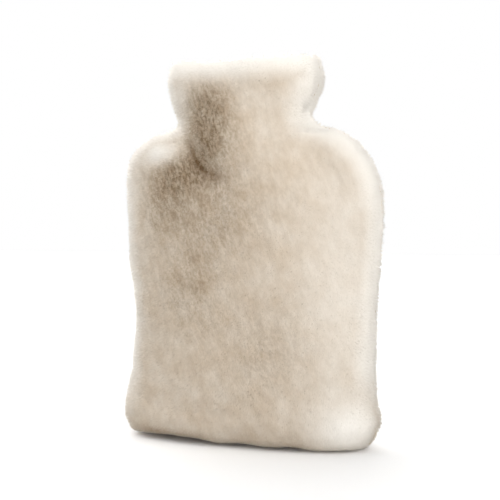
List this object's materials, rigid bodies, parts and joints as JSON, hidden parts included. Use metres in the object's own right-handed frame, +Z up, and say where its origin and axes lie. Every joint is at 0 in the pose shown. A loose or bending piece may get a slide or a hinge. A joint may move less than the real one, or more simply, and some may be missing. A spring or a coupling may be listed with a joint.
{
  "type": "hot water bottle cover",
  "caption": "Bottle-shaped sheepskin pouch with thick sheared pile outside, a wide flared neck open at the top, and a flat base to stand on.",
  "frame": {"origin": "on the surface the cover stands on, under the middle of it", "axes": "+Z up from the base to the mouth, +X to the cover's right as its front is looked at, +Y from its front to its back"},
  "size_m": [0.2549, 0.1014, 0.3597],
  "materials": {
    "front_wool": "cream sheepskin, wool pile sheared to an even length",
    "back_wool": "cream sheepskin, wool pile sheared to an even length"
  },
  "bodies": {
    "root": {"front_panel": "front_wool", "back_panel": "back_wool"}
  },
  "joints": []
}
